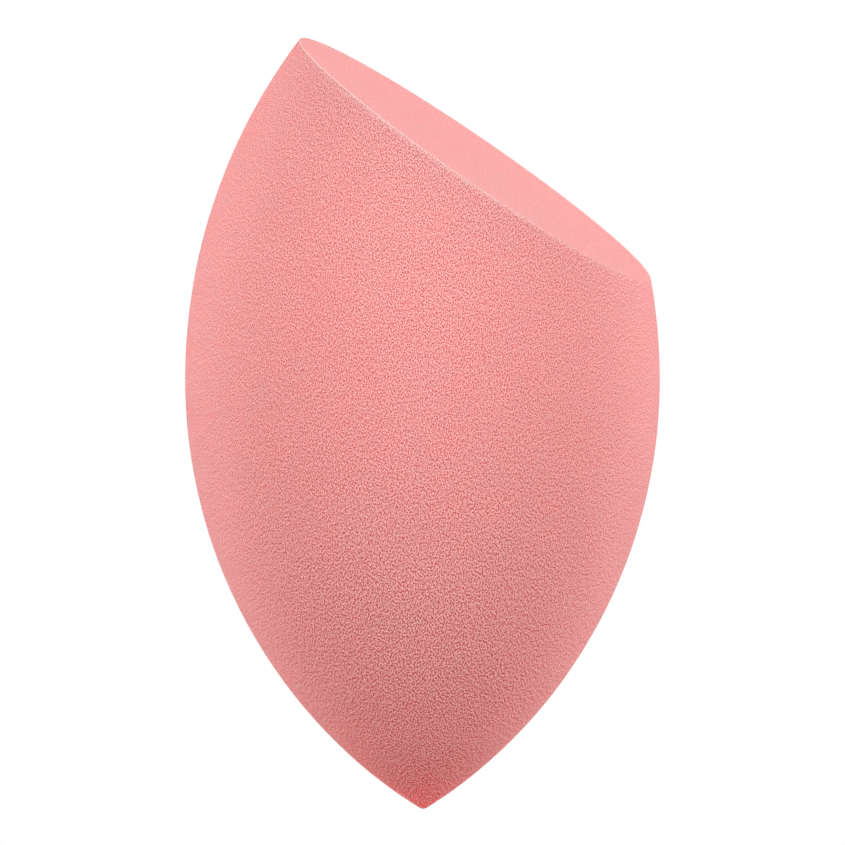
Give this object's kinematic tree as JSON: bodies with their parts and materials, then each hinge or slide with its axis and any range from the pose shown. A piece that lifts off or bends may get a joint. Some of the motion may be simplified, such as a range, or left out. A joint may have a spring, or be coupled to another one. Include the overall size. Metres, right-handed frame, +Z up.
{
  "type": "makeup sponge",
  "caption": "Teardrop makeup sponge of soft fine-celled foam, with a blunt point at one end and a slanted flat face at the other, for dabbing on and blending make-up.",
  "frame": {"origin": "point of the flat face on the sponge's own axis", "axes": "+Z up, out of the flat face and into the foam; the axis leans towards -X on its way up to the blunt point; the XZ plane is the plane of symmetry"},
  "size_m": [0.0491, 0.04, 0.0485],
  "materials": {
    "foam": "matte, fine open-celled foam, salmon pink"
  },
  "bodies": {
    "root": {"foam_body": "foam"}
  },
  "joints": []
}
